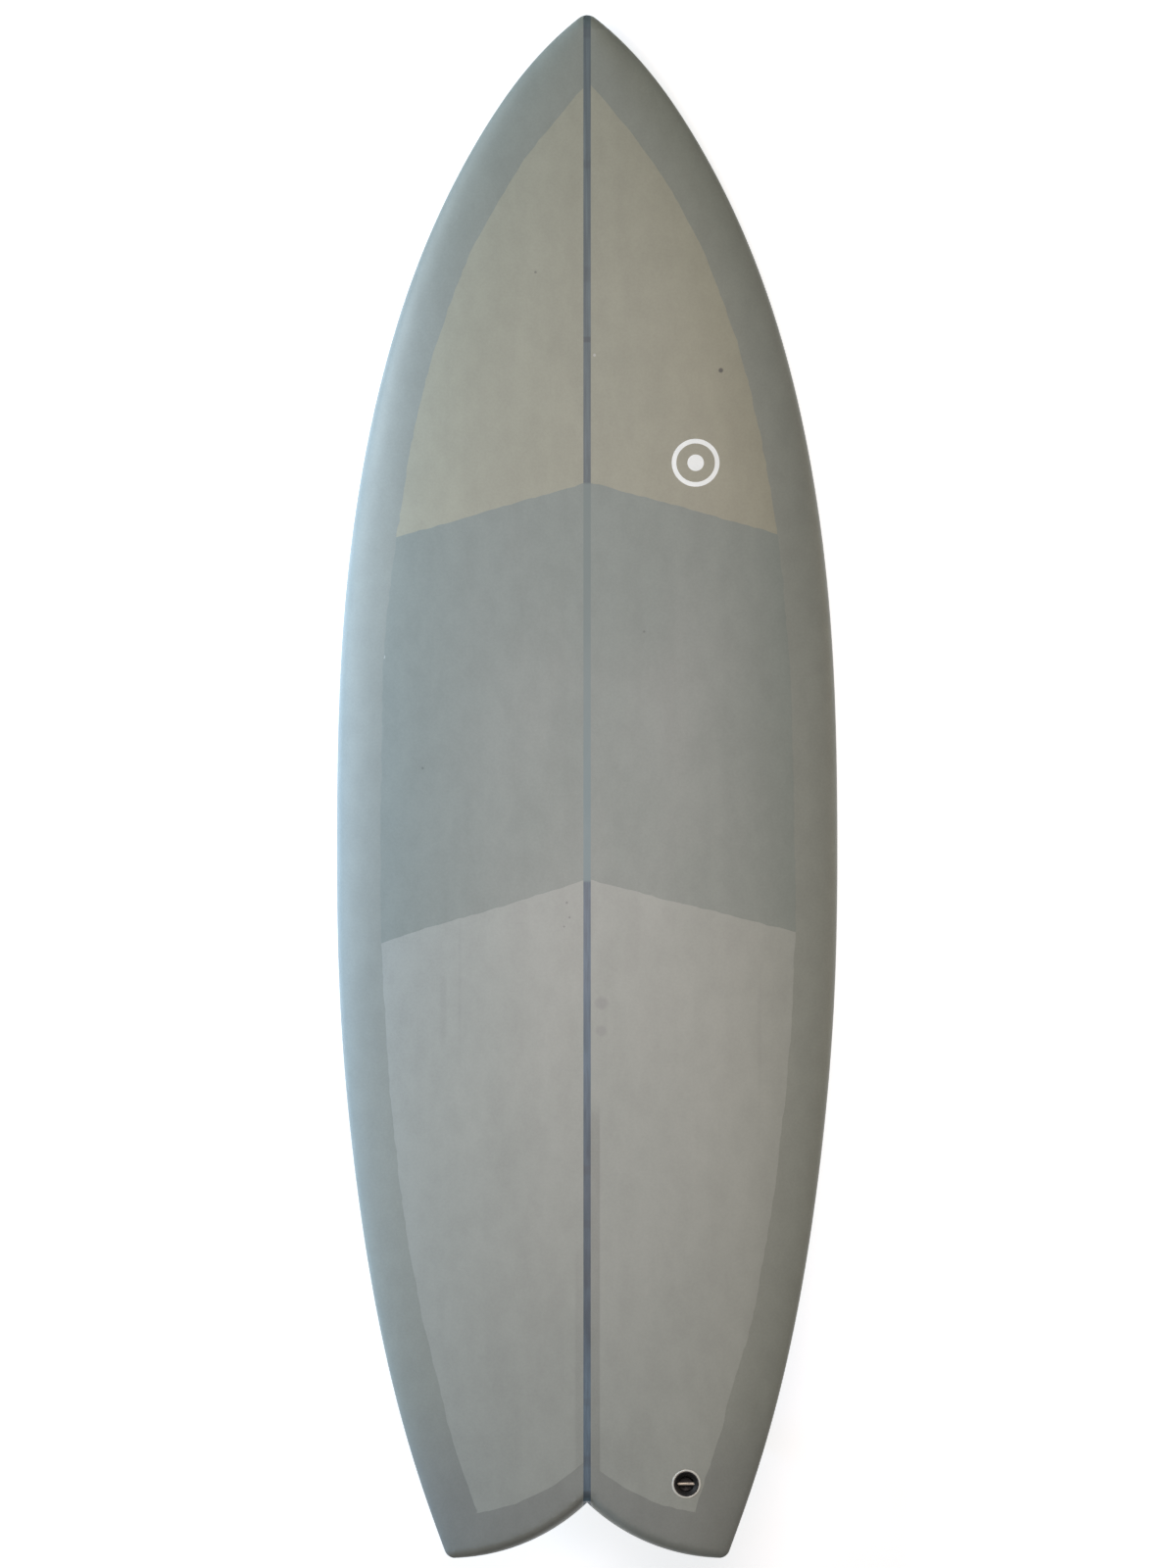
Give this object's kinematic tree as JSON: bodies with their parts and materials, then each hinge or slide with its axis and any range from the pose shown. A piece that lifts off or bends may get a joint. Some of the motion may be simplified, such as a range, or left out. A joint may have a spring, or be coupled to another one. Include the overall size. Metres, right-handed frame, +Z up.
{
  "type": "shortboard surfboard",
  "caption": "Short fish surfboard with a swallow tail: glassed foam core, wood stringer, leash plug and removable keel fins.",
  "frame": {"origin": "on the floor under the middle of the board, which rests on its fin tips and belly", "axes": "+Y towards the nose, +X towards the right rail seen from above the deck, +Z up out of the deck"},
  "size_m": [0.5462, 1.6734, 0.1724],
  "materials": {
    "foam_blank": "matte",
    "stringer_wood": "matte",
    "rail_tint": "satin",
    "deck_tint": "satin",
    "patch_tint": "satin",
    "bottom_coat": "satin",
    "decal_ink": "satin",
    "leash_cup": "satin",
    "pin_metal": "satin",
    "pale_resin": "satin",
    "fin_plug": "matte",
    "screw_steel": "satin",
    "fin_glass": "gloss"
  },
  "bodies": {
    "board": {"foam_half_left": "foam_blank", "foam_half_right": "foam_blank", "stringer": "stringer_wood", "bottom_lamination": "rail_tint", "deck_patch": "patch_tint", "deck_decal": "decal_ink", "deck_lamination": "deck_tint", "bottom_hot_coat": "bottom_coat", "leash_plug_cup": "leash_cup", "leash_plug_pin": "pin_metal", "leash_plug_resin_ring": "pale_resin", "left_front_fin_plug": "fin_plug", "left_rear_fin_plug": "fin_plug", "right_front_fin_plug": "fin_plug", "right_rear_fin_plug": "fin_plug", "fin_plug_resin": "pale_resin", "fin_grub_screws": "screw_steel"},
    "left_fin_body": {"left_fin": "fin_glass"},
    "right_fin_body": {"right_fin": "fin_glass"}
  },
  "joints": [
    {"name": "left_fin_slide", "type": "slide", "parent": "board", "child": "left_fin_body", "axis": [-0.1045, -0.1995, -0.9743], "range_m": [0, 0.02]},
    {"name": "right_fin_slide", "type": "slide", "parent": "board", "child": "right_fin_body", "axis": [0.1045, -0.1995, -0.9743], "range_m": [0, 0.02]}
  ]
}
